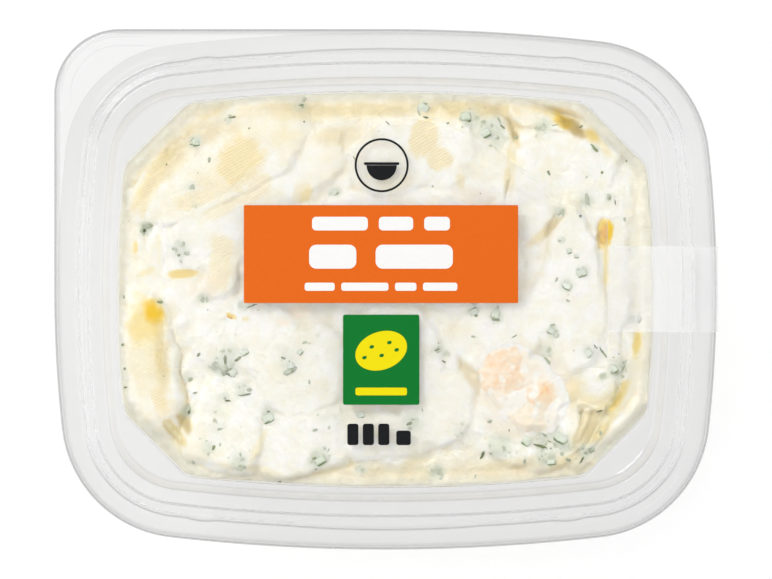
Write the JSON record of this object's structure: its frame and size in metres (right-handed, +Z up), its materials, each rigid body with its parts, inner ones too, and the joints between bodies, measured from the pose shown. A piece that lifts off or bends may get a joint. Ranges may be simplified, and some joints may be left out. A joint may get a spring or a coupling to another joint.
{
  "type": "potato salad",
  "caption": "Creamy potato salad with egg and herbs in a clear oblong tub, shut by a clear press-fit lid with a pull tab and a printed film band that seals one side.",
  "frame": {"origin": "middle of the pack's box, on the plane that the tub stands on", "axes": "+X along the pack's length towards the film seal, +Y across it, +Z up through the lid"},
  "size_m": [0.1553, 0.1218, 0.0497],
  "materials": {
    "clear_tub": "clear thermoformed plastic, polished",
    "clear_lid": "clear thermoformed plastic, polished",
    "salad": "moist, creamy dressing over boiled potato",
    "film": "hazy clear adhesive film",
    "orange_print": "satin ink",
    "green_print": "satin ink",
    "black_print": "satin ink"
  },
  "bodies": {
    "root": {"tub": "clear_tub", "lid": "clear_lid", "salad": "salad", "label": "film", "print_banner": "orange_print", "print_stamp": "green_print", "print_mark_ring": "black_print", "print_mark_bowl": "black_print", "print_block_1": "black_print", "print_block_2": "black_print", "print_block_3": "black_print", "print_block_4": "black_print"}
  },
  "joints": []
}
